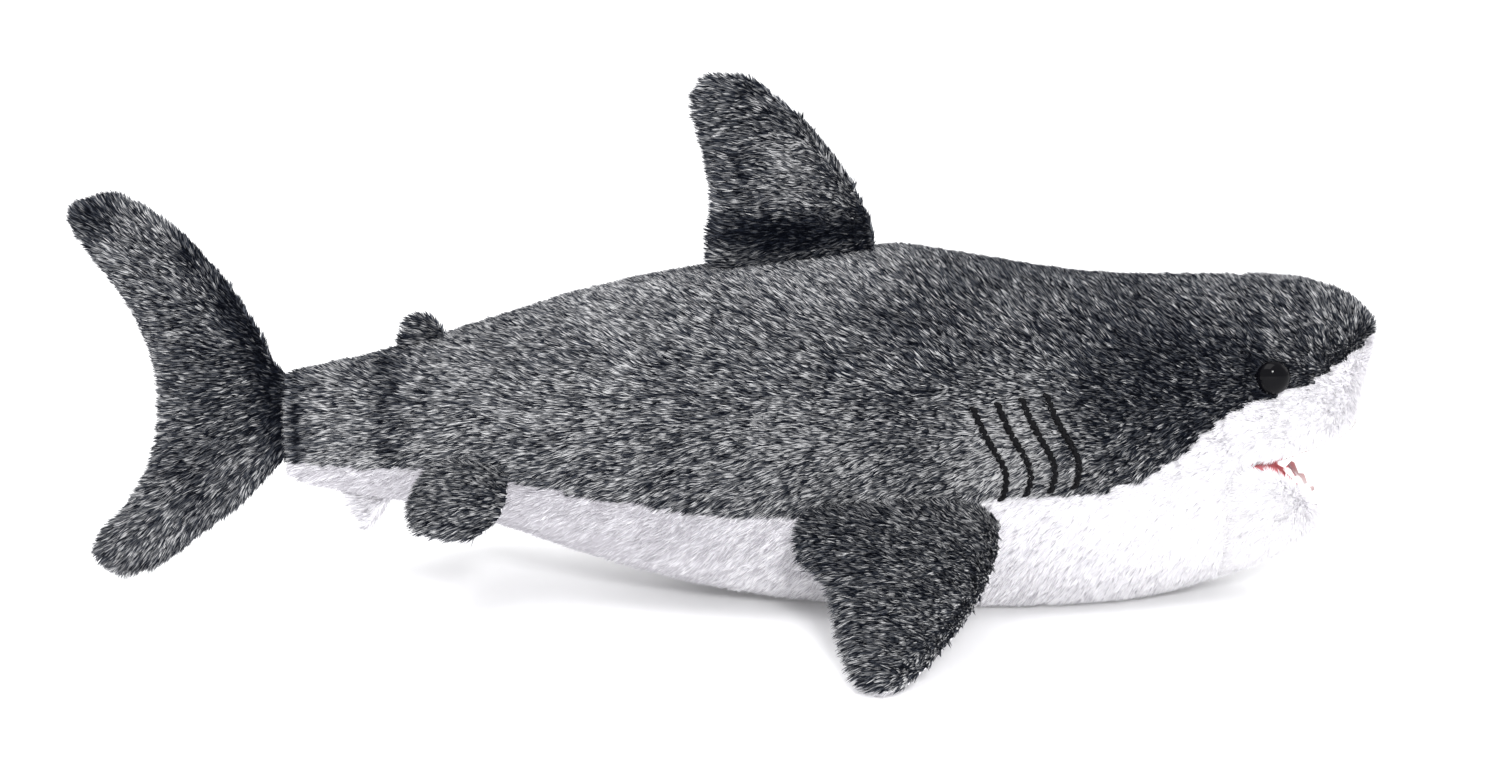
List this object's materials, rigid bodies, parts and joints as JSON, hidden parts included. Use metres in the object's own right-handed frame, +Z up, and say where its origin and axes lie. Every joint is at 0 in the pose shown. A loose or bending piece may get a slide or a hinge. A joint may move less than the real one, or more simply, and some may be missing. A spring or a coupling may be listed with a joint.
{
  "type": "plush toy shark",
  "caption": "Stuffed toy shark lying on its belly: grey pile back, white pile belly, open mouth with felt teeth, glossy eyes, stitched gills and padded fins that flex.",
  "frame": {"origin": "centre of the footprint of the whole toy, on the surface that its belly lies on", "axes": "+X towards the nose, +Y towards the toy's left side, +Z up; the XZ plane is the plane of symmetry"},
  "size_m": [0.5026, 0.2714, 0.2012],
  "materials": {
    "grey_pile": "long-pile charcoal grey plush, brushed",
    "white_pile": "long-pile white plush, brushed",
    "pink_lining": "short-pile pink lining",
    "white_felt": "matt felt, cut edge",
    "filling": "loose polyester fibre",
    "black_thread": "satin embroidery thread",
    "eye_black": "polished black",
    "washer_plastic": "moulded natural nylon"
  },
  "bodies": {
    "torso": {"back_panel_right": "grey_pile", "back_panel_left": "grey_pile", "snout_panel_right": "grey_pile", "snout_panel_left": "grey_pile", "belly_panel": "white_pile", "upper_lip_panel": "white_pile", "body_filling": "filling", "palate_lining": "pink_lining", "upper_teeth": "white_felt", "eye_right": "eye_black", "eye_washer_right": "washer_plastic", "eye_left": "eye_black", "eye_washer_left": "washer_plastic", "gill_stitch_right_1": "black_thread", "gill_stitch_right_2": "black_thread", "gill_stitch_right_3": "black_thread", "gill_stitch_right_4": "black_thread", "gill_stitch_left_1": "black_thread", "gill_stitch_left_2": "black_thread", "gill_stitch_left_3": "black_thread", "gill_stitch_left_4": "black_thread"},
    "jaw": {"jaw_panel": "white_pile", "jaw_filling": "filling", "mouth_floor_lining": "pink_lining", "lower_teeth": "white_felt"},
    "tail": {"tail_fin_panel_left": "grey_pile", "tail_fin_panel_right": "grey_pile", "tail_fin_filling": "filling"},
    "dorsal": {"dorsal_fin_panel_left": "grey_pile", "dorsal_fin_panel_right": "grey_pile", "dorsal_fin_filling": "filling"},
    "second_dorsal": {"second_dorsal_fin_panel_left": "grey_pile", "second_dorsal_fin_panel_right": "grey_pile"},
    "anal": {"anal_fin_panel_left": "white_pile", "anal_fin_panel_right": "white_pile"},
    "pectoral_right": {"pectoral_fin_right_panel_top": "grey_pile", "pectoral_fin_right_panel_under": "white_pile", "pectoral_fin_right_filling": "filling"},
    "pelvic_right": {"pelvic_fin_right_panel_top": "grey_pile", "pelvic_fin_right_panel_under": "white_pile", "pelvic_fin_right_filling": "filling"},
    "pectoral_left": {"pectoral_fin_left_panel_top": "grey_pile", "pectoral_fin_left_panel_under": "white_pile", "pectoral_fin_left_filling": "filling"},
    "pelvic_left": {"pelvic_fin_left_panel_top": "grey_pile", "pelvic_fin_left_panel_under": "white_pile", "pelvic_fin_left_filling": "filling"}
  },
  "joints": [
    {"name": "jaw_open", "type": "hinge", "parent": "torso", "child": "jaw", "pos_m": [0.19732, 0, 0.06], "axis": [0, 1, 0], "range_deg": [-4, 5], "stiffness_Nm_per_rad": 0.6},
    {"name": "tail_swing", "type": "hinge", "parent": "torso", "child": "tail", "pos_m": [-0.17173, 0, 0.066], "axis": [0, 0, 1], "range_deg": [-25, 25], "stiffness_Nm_per_rad": 0.4},
    {"name": "dorsal_fin_lean", "type": "hinge", "parent": "torso", "child": "dorsal", "pos_m": [0.02532, 0, 0.132], "axis": [0.9917, 0, 0.1289], "range_deg": [-22, 22], "stiffness_Nm_per_rad": 0.3},
    {"name": "second_dorsal_fin_lean", "type": "hinge", "parent": "torso", "child": "second_dorsal", "pos_m": [-0.11768, 0, 0.0984], "axis": [0.9568, 0, 0.2909], "range_deg": [-20, 20], "stiffness_Nm_per_rad": 0.05},
    {"name": "anal_fin_lean", "type": "hinge", "parent": "torso", "child": "anal", "pos_m": [-0.13968, 0, 0.0392], "axis": [0.9938, 0, -0.1113], "range_deg": [-20, 20], "stiffness_Nm_per_rad": 0.05},
    {"name": "pectoral_fin_right_lift", "type": "hinge", "parent": "torso", "child": "pectoral_right", "pos_m": [-0.00168, -0.0596, 0.047], "axis": [-1, 0, 0], "range_deg": [-0.5, 45], "stiffness_Nm_per_rad": 0.5},
    {"name": "pelvic_fin_right_lift", "type": "hinge", "parent": "torso", "child": "pelvic_right", "pos_m": [-0.09818, -0.0323, 0.0542], "axis": [-0.9397, 0.342, 0], "range_deg": [-6, 35], "stiffness_Nm_per_rad": 0.1},
    {"name": "pectoral_fin_left_lift", "type": "hinge", "parent": "torso", "child": "pectoral_left", "pos_m": [-0.00168, 0.0596, 0.047], "axis": [1, 0, 0], "range_deg": [-0.5, 45], "stiffness_Nm_per_rad": 0.5},
    {"name": "pelvic_fin_left_lift", "type": "hinge", "parent": "torso", "child": "pelvic_left", "pos_m": [-0.09818, 0.0323, 0.0542], "axis": [0.9397, 0.342, 0], "range_deg": [-6, 35], "stiffness_Nm_per_rad": 0.1}
  ]
}
